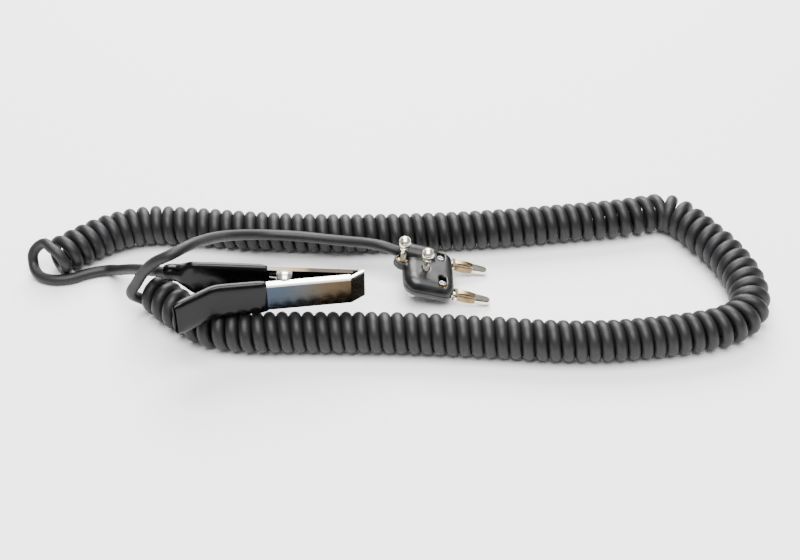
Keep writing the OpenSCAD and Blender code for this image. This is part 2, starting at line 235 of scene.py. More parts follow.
# Clouds of this many millimetres push the tints to and fro, so no two meet in a straight line
cloud_size = 7
cloud_shift = 8 * MM
# The painted highlight along the rim runs between these two depths under the top edge
painted_highlight_low = 1.3 * MM
painted_highlight_high = 0.5 * MM
# The lines of the rolling mill are long in X, along the strip
along_the_strip = (0.06, 1, 1)


def nickel_plate(name, jaw_start, jaw_end, rim_height):
    """Nickel with tarnish and painted dark reflection from jaw_start to jaw_end along X, and a
    painted highlight under the rim.
    """
    material, tree, shader, place = new_material(name, Metallic=1)
    axes = add_node(tree, "ShaderNodeSeparateXYZ", {"Vector": place})
    cloud = grain(tree, place, cloud_size, 4)
    shift = add_node(tree, "ShaderNodeMath", {0: cloud, 1: cloud_shift}, operation="MULTIPLY")
    along = add_node(tree, "ShaderNodeMath", {0: axes.outputs["X"], 1: shift.outputs[0]})
    limits = {"From Min": jaw_start, "From Max": jaw_end}
    # Painted dark reflection with tarnish: the plate darkens along X to a near-black nose
    tarnish_and_reflection_share = add_node(tree, "ShaderNodeMapRange", {"Value": along.outputs[0], **limits})
    ramp = add_node(tree, "ShaderNodeValToRGB", {"Fac": tarnish_and_reflection_share.outputs["Result"]})
    stops = ramp.color_ramp.elements
    for position, code in tarnish_and_painted_reflection[1:-1]:
        stops.new(position).color = linear(code)
    stops[0].color = linear(tarnish_and_painted_reflection[0][1])
    stops[-1].color = linear(tarnish_and_painted_reflection[-1][1])
    # Painted highlight: the colour turns near-white just under the top edge, where the lights glint
    # on the rim
    limits = {"From Min": rim_height - painted_highlight_low, "From Max": rim_height - painted_highlight_high}
    painted_highlight_share = add_node(tree, "ShaderNodeMapRange", {"Value": axes.outputs["Z"], **limits})
    ends = {MIX_FROM: ramp.outputs["Color"], MIX_TO: linear("#dcdbd6")}
    inputs = {MIX_SHARE: painted_highlight_share.outputs["Result"], **ends}
    metal = add_node(tree, "ShaderNodeMix", inputs, data_type="RGBA").outputs[MIX_COLOUR]
    tree.links.new(metal, shader.inputs["Base Color"])
    rolled = grain(tree, place, 0.5, 3, along_the_strip)
    gloss_patches(tree, shader, rolled, 0.14, 0.3)
    relief(tree, shader, rolled, 0.01, 0.4)
    return material


pivot = Vector(frame["joints"][0]["pos_m"])
lever_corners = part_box("far_lever")
rim = lever_corners[1][2]
# The near lever's plate: tarnish, painted dark reflection and a painted highlight along its rim
plate = nickel_plate("nickel_tarnish_painted_reflection_and_highlight", pivot.x + 2 * MM, pivot.x + 34 * MM, rim)
# The far lever lies behind the near one, so it gets no painted highlight: the bright rim starts
# above the metal
above_rim = rim + 5 * MM
# Painted shade: a darker copy of the plate, whose tints reach the dark from 9 mm behind the pivot
far_plate = nickel_plate("nickel_tarnish_and_painted_shade", pivot.x - 9 * MM, pivot.x + 14 * MM, above_rim)
print("plated:", plate.name, far_plate.name, "with the pivot at", tuple(round(x, 4) for x in pivot))

# %% Plain metals
patch_size = 3


def plain_metal(name, bright, dull, smooth, rough):
    """A metal with patches of two tints, and a fine grain of two roughnesses."""
    material, tree, shader, place = new_material(name, Metallic=1)
    tint_patches(tree, shader, grain(tree, place, patch_size, 4), bright, dull)
    fine = grain(tree, place, 0.25, 2)
    gloss_patches(tree, shader, fine, smooth, rough)
    relief(tree, shader, fine, 0.008, 0.4)
    return material


spring_steel = plain_metal("drawn_spring_steel", "#a9aaad", "#8b8c90", 0.25, 0.38)
tinned_copper = plain_metal("tinned_copper", "#c9b7a4", "#b59a82", 0.3, 0.45)
pin_nickel = plain_metal("bright_nickel_pins", "#efe9dc", "#d9cfbb", 0.08, 0.18)
leaf_bronze = plain_metal("beryllium_copper_leaves", "#9d8560", "#6f5c40", 0.22, 0.36)
brass = plain_metal("machined_brass", "#d2b06a", "#b8934f", 0.2, 0.32)
zinc_steel = plain_metal("zinc_plated_screws", "#c8cbd0", "#a9acb0", 0.22, 0.36)
screw_nickel = plain_metal("bright_nickel_thumbscrews", "#fbf5e6", "#ebe2ca", 0.14, 0.26)
print("materials so far:", sorted(material.name for material in bpy.data.materials))

# %% [markdown]
# ## The curly cord
# A retractile cord is one long straight cord that was wound on a rod and baked, so it keeps
# its curl. The way to build it is the way it is made: draw the line that the middle of the
# coil follows, then walk along it and turn round it. The radius of the turns is fixed by the
# rod, and only the pitch changes, tight where the coil rests and open where it is bent or
# pulled. Both ends run out straight, one into the clip and one into the plug.

# %% The cord's own sizes
lead_diameter = 4.4 * MM
turn_diameter = 5.0 * MM
coil_diameter = 16.4 * MM
turn_radius = (coil_diameter - turn_diameter) / 2
# The routes are in millimetres, and this moves all of them on the table
cord_at = np.array([-0.7, -0.7, 0])
coil_height = coil_diameter / 2 / MM
coil_route = [
    (-114, 27.5), (-109, 32.5), (-104, 37), (-97.5, 42.5), (-90, 47), (-78, 50.5), (-64, 50),
    (-35, 47), (-14, 45.5), (28, 45.5), (70, 48.5), (96, 52), (128, 57), (136, 59),
    (141.5, 59.5), (147.5, 55.5), (152.5, 48.5), (156.5, 41.5), (160.5, 35), (163.5, 28),
    (166, 20.5), (167.5, 12.5), (167.5, 4), (165.5, -4), (160.5, -10), (153, -14),
    (144.5, -16.5), (128.5, -19.5), (113, -21.5), (90, -22), (66, -20), (28, -17.5),
    (-10, -17), (-34, -16.5), (-45, -14), (-55, -7), (-65.5, 2.5), (-71, 9),
]
clip_route = [
    (-117.5, 31, 14), (-120.5, 32, 12), (-123.5, 31, 8), (-123.5, 29.5, 5), (-122, 26, 3),
    (-119, 23.3, 2.3), (-114.5, 21.7, 2.3), (-107, 22.5, 2.3), (-102, 25, 2.3),
    (-97.5, 26.8, 2.3), (-92.5, 27.5, 2.6), (-87.5, 24, 5.5), (-82, 19, 10),
    (-76.5, 13.5, 14.5), (-70.5, 7, 19.3), (-67, 3.2, 22.2), (-64.6, 0.7, 23.7),
    (-63.2, 0.2, 24), (-59, 0.4, 24),
]
plug_route = [
    (-78, 2, 12), (-75, 1, 18), (-71.5, 0, 24.2), (-66, -1.2, 30.5), (-60, -1.2, 33.8),
    (-54.5, 3.5, 34), (-48.5, 13, 30), (-40, 26, 22), (-28, 34.2, 16), (-13.5, 35.6, 14),
    (1, 33.2, 14), (9, 31, 14.8), (16, 28.3, 16), (21.5, 25.8, 16.6), (27.2, 24.3, 15.4),
    (33, 24.5, 13.8),
]
# Pitch of the turns at some of the coil route's points: (number of the point, millimetres)
pitch_at = [
    (0, 6.2), (2, 5.2), (4, 5.05), (11, 5.05), (14, 5.9), (24, 5.9), (27, 4.95), (33, 4.95),
    (35, 5.8), (37, 6.4),
]
print("the coil's turns have a radius of", round(turn_radius / MM, 2), "mm")


# %% A smooth line through chosen points
def smooth_line(points, step, leave=None, arrive=None):
    """A curve through points, sampled every step. leave and arrive set its end directions."""
    p = np.array(points, float)
    gap = np.linalg.norm(np.diff(p, axis=0), axis=1)
    slope = np.diff(p, axis=0) / gap[:, None]
    inner = slope[:-1] * gap[1:, None] + slope[1:] * gap[:-1, None]
    inner /= (gap[:-1] + gap[1:])[:, None]
    first = slope[0] if leave is None else leave / np.linalg.norm(leave)
    last = slope[-1] if arrive is None else arrive / np.linalg.norm(arrive)
    tangent = np.vstack([first, inner, last])
    line = []
    for i, length in enumerate(gap):
        count = max(2, round(length / step))
        for t in np.arange(count) / count:
            a = (2 * t**3 - 3 * t**2 + 1) * p[i] + (t**3 - 2 * t**2 + t) * length * tangent[i]
            b = (3 * t**2 - 2 * t**3) * p[i + 1] + (t**3 - t**2) * length * tangent[i + 1]
            line.append(a + b)
    line.append(p[-1])
    return np.array(line)


def run_length(line):
    """The distance from a line's start to each of its points."""
    return np.concatenate([[0], np.cumsum(np.linalg.norm(np.diff(line, axis=0), axis=1))])


middle_step = 1.0
middle = smooth_line([(x, y, coil_height) for x, y in coil_route], middle_step)
travel = run_length(middle)
print("the coil's middle line is", round(travel[-1]), "mm long")

# %% Wind the turns round the middle line
turn_steps = 20
marks = []
for point, _ in pitch_at:
    away = np.linalg.norm(middle[:, :2] - coil_route[point], axis=1)
    marks.append(travel[np.argmin(away)])
pitch = np.interp(travel, marks, [millimetres for _, millimetres in pitch_at])
turned = np.concatenate([[0], np.cumsum(np.diff(travel) / ((pitch[:-1] + pitch[1:]) / 2))])
# The last turn stops low on the near side, where the lead to the plug rises from it
last_turn_share = 0.66
turn_count = math.floor(turned[-1]) + last_turn_share
turned *= turn_count / turned[-1]
at = np.linspace(0, turn_count, int(turn_count * turn_steps))
centre = np.array([np.interp(at, turned, middle[:, k]) for k in range(3)]).T
heading = np.gradient(centre, axis=0)
heading /= np.linalg.norm(heading, axis=1)[:, None]
side = np.cross(heading, (0, 0, 1))
angle = 2 * math.pi * at[:, None]
winding = centre + turn_radius / MM * (np.cos(angle) * np.array([0, 0, 1]) + np.sin(angle) * side)
print(round(turn_count, 2), "turns of the cord")

# %% The whole cord as one curve
clip_points = np.vstack([clip_route[::-1], winding[:1]])
plug_points = np.vstack([winding[-1:], plug_route])
lead_step = 1.5
to_clip = smooth_line(clip_points, lead_step, arrive=winding[1] - winding[0])[:-1]
to_plug = smooth_line(plug_points, lead_step, leave=winding[-1] - winding[-2])[1:]
cord_line = (np.vstack([to_clip, winding, to_plug]) + cord_at) * MM
cord_data = bpy.data.curves.new("curly_cord", "CURVE")
cord_data.dimensions = "3D"
cord_data.bevel_depth = turn_diameter / 2
cord_data.bevel_resolution = 5
cord_data.use_fill_caps = True
spline = cord_data.splines.new("POLY")
spline.points.add(len(cord_line) - 1)
spline.points.foreach_set("co", np.hstack([cord_line, np.ones((len(cord_line), 1))]).ravel())
spline.use_smooth = True
# Winding presses the warm jacket wider than it is on the straight leads, over its first turn
lead_share = lead_diameter / turn_diameter
thickness = np.full(len(cord_line), lead_share)
first_turn = len(to_clip)
last_turn = first_turn + len(winding)
thickness[first_turn:last_turn] = 1
swell = np.linspace(lead_share, 1, turn_steps)
thickness[first_turn : first_turn + turn_steps] = swell
thickness[last_turn - turn_steps : last_turn] = swell[::-1]
spline.points.foreach_set("radius", thickness)
cord_data.materials.append(jacket)
curly_cord = bpy.data.objects.new("curly_cord", cord_data)
bpy.context.scene.collection.objects.link(curly_cord)
# The line starts inside the grip's neck, and its fifth point is where the cord comes out
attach(curly_cord, "root")
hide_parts("clip_lead", "curly_coil", "plug_lead")

# %% [markdown]
# ## Table and light
# The table is a plain pale sheet. Soft light comes from large panels, because a small lamp
# gives hard dots on gloss, and a large one gives the long calm highlights that show a shape.


# %% Table
def flat_sheet(name, size, height):
    """A square sheet of one face, centred under the origin."""
    mesh = bpy.data.meshes.new(name)
    half = size / 2
    corners = [(x * half, y * half, height) for x, y in ((-1, -1), (1, -1), (1, 1), (-1, 1))]
    mesh.from_pydata(corners, [], [(0, 1, 2, 3)])
    sheet = bpy.data.objects.new(name, mesh)
    bpy.context.scene.collection.objects.link(sheet)
    return sheet


def white_laminate():
    """The matt plastic face of a workbench, with a slow change in its gloss."""
    material, tree, shader, place = new_material("white_laminate")
    shader.inputs["Base Color"].default_value = linear("#f7f7f6")
    gloss_patches(tree, shader, grain(tree, place, 4), 0.7, 0.8)
    return material


# A hair lower than the coil's lowest turns, so that no two surfaces lie in one plane
table = flat_sheet("table", 6, -0.05 * MM)
table.data.materials.append(white_laminate())
print("table is", round(table.dimensions.x, 1), "m wide")


# %% Lights
def light_panel(name, place, target, size, power):
    """A square panel of light that faces a point."""
    data = bpy.data.lights.new(name, "AREA")
    data.size = size
    data.energy = power
    panel = bpy.data.objects.new(name, data)
    panel.location = place
    panel.rotation_euler = (Vector(target) - Vector(place)).to_track_quat("-Z", "Y").to_euler()
    bpy.context.scene.collection.objects.link(panel)


light_panel("key", place=(0.05, -0.25, 1.05), target=aim, size=0.9, power=32)
light_panel("window", place=(0.0, 0.85, 0.75), target=aim, size=0.8, power=36)
world = bpy.data.worlds.new("studio")
world.use_nodes = True
sky = world.node_tree.nodes["Background"]
sky.inputs["Color"].default_value = (0.95, 0.97, 1.0, 1)
sky.inputs["Strength"].default_value = 0.45
bpy.context.scene.world = world

# %% [markdown]
# ## Helpers for solid pieces
# The clip and the plug were each drawn flat and square in their own frame, and then turned on
# the table. The same is done here: a piece is made in its own frame, in millimetres, and one
# matrix takes its mesh to the table. The object itself stays at the origin.

# %% The clip's frame and the plug's frame
clip_yaw = math.radians(2.4)
lever_low = lever_corners[0][2] / MM
lever_high = lever_corners[1][2] / MM
lever_middle = (lever_low + lever_high) / 2
clip_frame = Matrix.Translation((pivot.x, pivot.y, 0)) @ Matrix.Rotation(clip_yaw, 4, "Z")
clip_frame = clip_frame @ Matrix.Scale(MM, 4)
plug_yaw = math.radians(1.5)
plug_pitch = math.radians(16)
pin_diameter = 4
pin_length = 15.5
# The plug leans forward until its two pin tips rest on the table
plug_height = pin_diameter / 2 + (pin_length - pin_diameter / 2) * math.sin(plug_pitch)
plug_x = 48.9
plug_y = 17.2
plug_frame = Matrix.Translation((plug_x * MM, plug_y * MM, plug_height * MM))
plug_frame = plug_frame @ Matrix.Rotation(plug_yaw, 4, "Z") @ Matrix.Rotation(plug_pitch, 4, "Y")
plug_frame = plug_frame @ Matrix.Scale(MM, 4)
print("levers from z", round(lever_low, 2), "to", round(lever_high, 2), "mm")


# %% Finish a piece
def finish_piece(obj, material, body, replaced=(), crease=35):
    """Smooth shading up to the crease angle, material, slot, body and the solids it stands for."""
    if not obj.data.materials:
        obj.data.materials.append(material)
    obj.data.shade_smooth()
    obj.data.set_sharp_from_angle(angle=math.radians(crease))
    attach(obj, body)
    if replaced:
        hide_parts(*replaced)
    print(obj.name, "rides on", body, "with", len(obj.data.polygons), "faces")


def new_object(name, bm, matrix):
    """A bmesh becomes an object, with its place in its mesh."""
    mesh = bpy.data.meshes.new(name)
    bm.to_mesh(mesh)
    bm.free()
    mesh.transform(matrix)
    obj = bpy.data.objects.new(name, mesh)
    bpy.context.scene.collection.objects.link(obj)
    return obj


def closed_object(name, bm, matrix):
    """A skin made here, in millimetres: its seams and poles are merged and it faces outwards."""
    bmesh.ops.remove_doubles(bm, verts=bm.verts, dist=1e-4)
    bmesh.ops.recalc_face_normals(bm, faces=bm.faces)
    return new_object(name, bm, matrix)


def merged_solid(node):
    """A CAD solid's shape, with its loose triangles joined at their corners."""
    bm = bmesh.new()
    bm.from_mesh(nodes[node].data)
    bmesh.ops.remove_doubles(bm, verts=bm.verts, dist=0.002 * MM)
    return bm


def loft(rings, closed=True):
    """A skin through rings of points. The first and last rings are capped if closed."""
    bm = bmesh.new()
    made = [[bm.verts.new(p) for p in ring] for ring in rings]
    count = len(rings[0])
    for a, b in zip(made, made[1:]):
        for i in range(count):
            j = (i + 1) % count
            bm.faces.new((a[i], a[j], b[j], b[i]))
    if closed:
        bm.faces.new(made[0])
        bm.faces.new(made[-1])
    return bm


def lathe(profile, sides=40):
    """A turned part round its own Z axis, from (radius, height) points."""
    turn = [2 * math.pi * i / sides for i in range(sides)]
    rings = []
    for radius, height in profile:
        # A point on the axis keeps a hair of radius, so that its ring can be capped
        r = max(radius, 0.002)
        rings.append([(r * math.cos(a), r * math.sin(a), height) for a in turn])
    return loft(rings)


def arc(cx, cy, radius, start, stop, count):
    """Points of an arc, as (x, y), with its angles in degrees."""
    angles = [math.radians(start + (stop - start) * i / count) for i in range(count + 1)]
    return [(cx + radius * math.cos(a), cy + radius * math.sin(a)) for a in angles]


def softened_copy(name, node, edge_mm, material, body):
    """A CAD solid's own shape with its sharp edges broken by a small round."""
    bm = merged_solid(node)
    bmesh.ops.dissolve_limit(bm, angle_limit=math.radians(1), verts=bm.verts, edges=bm.edges)
    obj = new_object(name, bm, Matrix.Identity(4))
    bevel = obj.modifiers.new("broken edges", "BEVEL")
    bevel.width = edge_mm * MM
    bevel.segments = 2
    bevel.limit_method = "ANGLE"
    bevel.angle_limit = math.radians(40)
    finish_piece(obj, material, body, (node,), 30)


print("solid helpers are ready")

# %% [markdown]
# ## The clip's levers
# Each lever is one steel strip, pressed to a channel: a flat web with a flange along each
# edge. The CAD solids have the right shape, but a pressed edge is never dead sharp, and it is
# the thin bright line along it that says metal. So each lever is a merged copy of its solid
# with a bevel of 0.2 mm.

# %% Levers
pressed_edge = 0.2
softened_copy("far_lever_pressing", "far_lever", pressed_edge, far_plate, "root")
softened_copy("near_lever_pressing", "near_lever", pressed_edge, plate, "near_jaw")

# %% [markdown]
# ## The dipped grips
# Vinyl that is dipped and baked runs round every edge, so a grip has no flat face and no
# corner: its section is a soft oblong. Such a section is a superellipse, and one number sets
# how square it is. A loft runs that section along the handle, outside and inside, and turns
# over at both ends into a rounded lip. The far grip draws down to a round neck for the cord.

# %% Sections of a grip
# Sizes of the levers in the clip's frame, in millimetres, with the pivot at 0
lever_slope = math.radians(5.5)
face_at_pivot = 5.1
flange = 1.9
bend_x = -26
near_end_x = -39
far_end_x = -37
sleeve_x = -7
handle_angle = lever_slope + math.radians(30)
lip_step = 0.35
ROUND = 2


def face_y(x):
    """Distance of a lever's outer face from the clip's middle line."""
    return face_at_pivot - x * math.tan(lever_slope)


def section(centre, along, deep, high, squareness, count=48):
    """A superellipse across a line in the clip's plane: deep by high, half sizes."""
    across = Vector((-along[1], along[0], 0)).normalized()
    ring = []
    for i in range(count):
        a = 2 * math.pi * i / count
        c = math.copysign(abs(math.cos(a)) ** (2 / squareness), math.cos(a))
        s = math.copysign(abs(math.sin(a)) ** (2 / squareness), math.sin(a))
        ring.append(Vector(centre) + across * (c * deep) + Vector((0, 0, s * high)))
    return ring


def lip(outer_ring, inner_ring, end, next_to_end):
    """The ring between the outside and the inside at an end, a little way out from it."""
    step_out = (Vector(end) - Vector(next_to_end)).normalized() * lip_step
    return [a.lerp(b, 0.5) + step_out for a, b in zip(outer_ring, inner_ring)]


def grip(name, stations, body, node):
    """stations: (centre, direction, (deep, high, squareness) outside, the same inside)."""
    outside = [section(place, along, *outer) for place, along, outer, _ in stations]
    inside = [section(place, along, *inner) for place, along, _, inner in stations]
    front_lip = lip(outside[0], inside[0], stations[0][0], stations[1][0])
    rear_lip = lip(outside[-1], inside[-1], stations[-1][0], stations[-2][0])
    rings = [front_lip, *outside, rear_lip, *inside[::-1], front_lip]
    obj = closed_object(name, loft(rings, closed=False), clip_frame)
    finish_piece(obj, vinyl, body, (node,), 60)


print("a lever's face is", round(face_y(0), 2), "mm from the middle at the pivot")

# %% Sizes that both grips share
wall = 1.0
channel_middle = flange / 2
half_height = (lever_high - lever_low) / 2
# A superellipse cuts the corners of its box, so the outside is drawn this much larger
corner_spare = 0.35
outer_deep = channel_middle + wall + corner_spare
outer_high = half_height + wall + corner_spare
inner_deep = channel_middle + 0.22
inner_high = half_height + 0.42
grip_square = 2.8
bore_square = 9
belly = 0.12
end_round = 0.45


def end_rounding(k, last, reach):
    """How much smaller section k is, within reach sections of an end."""
    return end_round * (1 - min(k, last - k, reach) / reach) ** 2


print("a grip is", round(2 * outer_deep, 2), "by", round(2 * outer_high, 2), "mm outside")

# %% Near grip, with its flared tail
bend_radius = 9.0
bend_steps = 12
near_sections = 40
straight = (sleeve_x - bend_x) / math.cos(lever_slope)
bend_length = bend_radius * (handle_angle - lever_slope)
bend_start = straight - bend_length / 2
near_length = straight + (bend_x - near_end_x) / math.cos(handle_angle) + wall


def near_station(distance_back):
    """Place and direction on the near handle, distance_back from the sleeve's front end."""
    before = min(distance_back, bend_start)
    x = sleeve_x - before * math.cos(lever_slope)
    y = -face_y(sleeve_x) - before * math.sin(lever_slope)
    turned_by = min(max(distance_back - bend_start, 0) / bend_radius, handle_angle - lever_slope)
    for i in range(bend_steps):
        a = lever_slope + turned_by * (i + 0.5) / bend_steps
        x -= bend_radius * turned_by / bend_steps * math.cos(a)
        y -= bend_radius * turned_by / bend_steps * math.sin(a)
    angle = lever_slope + turned_by
    after = max(distance_back - bend_start - bend_length, 0)
    x -= after * math.cos(angle)
    y -= after * math.sin(angle)
    along = Vector((-math.cos(angle), -math.sin(angle), 0))
    inward = Vector((-math.sin(angle), math.cos(angle), 0))
    return Vector((x, y, lever_middle)) + inward * channel_middle, along


near_stations = []
for k in range(near_sections + 1):
    place, along = near_station(near_length * k / near_sections)
    fuller = belly * math.sin(math.pi * k / near_sections) - end_rounding(k, near_sections, 3)
    outer = (outer_deep + fuller, outer_high + fuller, grip_square)
    near_stations.append((place, along, outer, (inner_deep, inner_high, bore_square)))
grip("near_grip_dip", near_stations, "near_jaw", "near_grip")

# %% Far grip, drawn down to the neck
far_sections = 60
belly_sections = 40
neck_x = -47
neck_y = 11.2
neck_radius = 3.4
neck_start = -42.5
taper_start = -35.5
# The side towards the middle stays full for longer, because the crimp is behind it
low_taper_start = -40.2
low_taper_end = -44.5
bore_radius = lead_diameter / MM / 2 + 0.1


def ease(t):
    """0 to 1 with level ends."""
    t = min(max(t, 0), 1)
    return t * t * (3 - 2 * t)


def part_way(first, second, share):
    """A size that share of the way from the first to the second."""
    return first + (second - first) * share


far_stations = []
for k in range(far_sections + 1):
    x = sleeve_x + (neck_x - sleeve_x) * k / far_sections
    fuller = belly * math.sin(math.pi * min(k / belly_sections, 1))
    ends = end_rounding(k, far_sections, 4)
    middle_y = face_y(x) - channel_middle
    tapered = ease((x - taper_start) / (neck_start - taper_start))
    low_tapered = ease((x - low_taper_start) / (low_taper_end - low_taper_start))
    top_y = part_way(middle_y + outer_deep + fuller, neck_y + neck_radius, tapered)
    low_y = part_way(middle_y - outer_deep - fuller, neck_y - neck_radius, low_tapered)
    high = part_way(outer_high + fuller, neck_radius, tapered)
    square = part_way(grip_square, ROUND, tapered)
    drawn = ease((x - far_end_x) / (neck_start - far_end_x))
    inner = [
        part_way(inner_deep, bore_radius, drawn),
        part_way(inner_high, bore_radius, drawn),
        part_way(bore_square, ROUND, drawn),
    ]
    place = (x, (top_y + low_y) / 2, lever_middle)
    outer = ((top_y - low_y) / 2 - ends, high - ends, square)
    far_stations.append((place, (-1, 0, 0), outer, inner))
grip("far_grip_dip", far_stations, "root", "far_grip")

# %% [markdown]
# ## Pivot rivet and torsion spring
# The rivet is a turned part, so a lathe makes it: a profile of radius and height, spun round
# the axis. The spring is wire wound on the same axis with a leg against each handle. Geometry
# Nodes has a spiral curve and a way to skin it, so the tree below is a small spring machine.

# %% Rivet
head_radius = 2.9
head_height = 1.4
shank_radius = 1.5
dome_radius = (head_radius**2 + head_height**2) / (2 * head_height)
dome_angle = math.degrees(math.asin(head_radius / dome_radius))
dome_middle = lever_high + head_height - dome_radius
top = [(abs(x), y) for x, y in arc(0, dome_middle, dome_radius, 90 - dome_angle, 90, 10)]
bottom = [(r, 2 * lever_middle - z) for r, z in top[::-1]]
rivet_profile = [*bottom, (shank_radius, lever_low), (shank_radius, lever_high), *top]
pivot_rivet = closed_object("domed_rivet", lathe(rivet_profile), clip_frame)
finish_piece(pivot_rivet, plate, "root", ("pivot_rivet",), 30)


# %% A spring machine in Geometry Nodes
def node_group(name, inputs):
    """An empty Geometry Nodes tree with named inputs, and the sockets that give their values."""
    tree = bpy.data.node_groups.new(name, "GeometryNodeTree")
    tree.interface.new_socket("Geometry", in_out="INPUT", socket_type="NodeSocketGeometry")
    for label, kind in inputs:
        tree.interface.new_socket(label, in_out="INPUT", socket_type=kind)
    tree.interface.new_socket("Geometry", in_out="OUTPUT", socket_type="NodeSocketGeometry")
    start = add_node(tree, "NodeGroupInput")
    return tree, start.outputs


def end_tree(tree, geometry, finish):
    """Every tree ends the same way: copies made real, then their material, then the output."""
    real = add_node(tree, "GeometryNodeRealizeInstances", {"Geometry": geometry})
    inputs = {"Geometry": real.outputs["Geometry"], "Material": finish}
    coated = add_node(tree, "GeometryNodeSetMaterial", inputs)
    add_node(tree, "NodeGroupOutput", {"Geometry": coated.outputs["Geometry"]})
    print(tree.name, "has", len(tree.nodes), "nodes")


def run_nodes(name, tree, values, matrix):
    """Runs a tree with these inputs, turns its result into a plain mesh and places it."""
    obj = bpy.data.objects.new(name, bpy.data.meshes.new(name))
    bpy.context.scene.collection.objects.link(obj)
    modifier = obj.modifiers.new(name, "NODES")
    modifier.node_group = tree
    for item in tree.interface.items_tree:
        if item.in_out == "INPUT" and item.name in values:
            modifier[item.identifier] = values[item.name]
    shown = obj.evaluated_get(bpy.context.evaluated_depsgraph_get())
    mesh = bpy.data.meshes.new_from_object(shown)
    obj.modifiers.clear()
    obj.data = mesh
    mesh.transform(matrix)
    return obj


FLOAT = "NodeSocketFloat"
WHOLE = "NodeSocketInt"
POINT = "NodeSocketVector"
FINISH = "NodeSocketMaterial"
print("node helpers are ready")

# %% The spring machine's tree
spring_inputs = [
    ("Turns", FLOAT), ("Radius", FLOAT), ("Height", FLOAT), ("Wire", FLOAT), ("Leg start", POINT),
    ("Leg end", POINT), ("Finish", FINISH),
]
spring_tree, given = node_group("wound_spring", spring_inputs)
coil_sizes = {
    "Resolution": 28,
    "Rotations": given["Turns"],
    "Start Radius": given["Radius"],
    "End Radius": given["Radius"],
    "Height": given["Height"],
}
spiral = add_node(spring_tree, "GeometryNodeCurveSpiral", coil_sizes)
leg_ends = {"Start": given["Leg start"], "End": given["Leg end"]}
leg = add_node(spring_tree, "GeometryNodeCurvePrimitiveLine", leg_ends)
both = add_node(spring_tree, "GeometryNodeJoinGeometry")
spring_tree.links.new(spiral.outputs["Curve"], both.inputs["Geometry"])
spring_tree.links.new(leg.outputs["Curve"], both.inputs["Geometry"])
wire_sizes = {"Resolution": 12, "Radius": given["Wire"]}
wire_round = add_node(spring_tree, "GeometryNodeCurvePrimitiveCircle", wire_sizes)
skin_inputs = {
    "Curve": both.outputs["Geometry"],
    "Profile Curve": wire_round.outputs["Curve"],
    "Fill Caps": True,
}
skin = add_node(spring_tree, "GeometryNodeCurveToMesh", skin_inputs)
end_tree(spring_tree, skin.outputs["Mesh"], given["Finish"])

# %% The torsion spring in two pieces, one for each handle
wire = 1.1
spring_bore = 3.6
spring_turns = 4.0
lever_sheet = 1
leg_play = 0.1
spring_radius = (spring_bore + wire) / 2
spring_height = spring_turns * wire
spring_low = lever_middle - spring_height / 2
leg_x = -6
leg_y = face_y(leg_x) - lever_sheet - wire / 2 - leg_play
spring_place = clip_frame @ Matrix.Translation((0, 0, spring_low))
spring_values = {"Radius": spring_radius, "Wire": wire / 2, "Finish": spring_steel}
coil_values = {
    "Turns": spring_turns,
    "Height": spring_height,
    "Leg start": (0, spring_radius, spring_height),
    "Leg end": (leg_x, leg_y, spring_height),
}
# The second leg starts half a turn away and rides with the near jaw
near_leg_values = {
    "Turns": 0.5,
    "Height": 0.0,
    "Leg start": (0, -spring_radius, 0),
    "Leg end": (leg_x, -leg_y, 0),
}
for name, values, body, replaced in (
    ("spring_coil", coil_values, "root", ("torsion_spring",)),
    ("spring_near_leg", near_leg_values, "near_jaw", ()),
):
    piece = run_nodes(name, spring_tree, {**values, **spring_values}, spring_place)
    finish_piece(piece, spring_steel, body, replaced, 60)

# %% [markdown]
# ## The plug's shells
# The plug is two moulded shells with a parting line round the middle. A moulding has a small
# round on every edge, inside corners too, and a bevel can't find them all where a boss runs
# into a shell. A remesh can: it wraps the CAD solid in an even skin, and a little smoothing
# then melts each edge by the same amount. The same smoothing opens the parting line.


# %% Shells
def moulded_copy(name, node, cell_mm, passes):
    """A CAD solid as a moulding: remeshed in the plug's own frame and smoothed."""
    obj = new_object(name, merged_solid(node), plug_frame.inverted())
    remesh = obj.modifiers.new("even skin", "REMESH")
    remesh.mode = "VOXEL"
    remesh.voxel_size = cell_mm
    melt = obj.modifiers.new("melt", "SMOOTH")
    melt.factor = 0.5
    melt.iterations = passes
    shown = obj.evaluated_get(bpy.context.evaluated_depsgraph_get())
    skin_mesh = bpy.data.meshes.new_from_object(shown)
    obj.modifiers.clear()
    obj.data = skin_mesh
    skin_mesh.transform(plug_frame)
    skin_mesh.materials.clear()
    finish_piece(obj, abs_plastic, "root", (node,), 80)


for node in ("plug_cover", "plug_base"):
    moulded_copy(node + "_moulding", node, cell_mm=0.24, passes=6)

# %% [markdown]
# ## Banana pins
# A banana pin is a turned nickel core with a collar and a round tip, inside a cage of bronze
# leaves that bow outwards to grip the socket. The core is a lathe. The leaves repeat round the
# axis, so Geometry Nodes bends one leaf as an arc and sets four of them round the pin.

# %% Leaf cage in Geometry Nodes
leaf_inputs = [
    ("Leaves", WHOLE), ("Start", FLOAT), ("End", FLOAT), ("Radius", FLOAT), ("Bow", FLOAT),
    ("Width", FLOAT), ("Sheet", FLOAT), ("Finish", FINISH),
]
leaf_tree, given = node_group("leaf_cage", leaf_inputs)
near_collar = {"X": given["Start"], "Z": given["Radius"]}
start_point = add_node(leaf_tree, "ShaderNodeCombineXYZ", near_collar)
near_tip = {"X": given["End"], "Z": given["Radius"]}
end_point = add_node(leaf_tree, "ShaderNodeCombineXYZ", near_tip)
both_ends = add_node(leaf_tree, "ShaderNodeMath", {0: given["Start"], 1: given["End"]})
half = {0: both_ends.outputs[0], 1: 0.5}
halfway = add_node(leaf_tree, "ShaderNodeMath", half, operation="MULTIPLY")
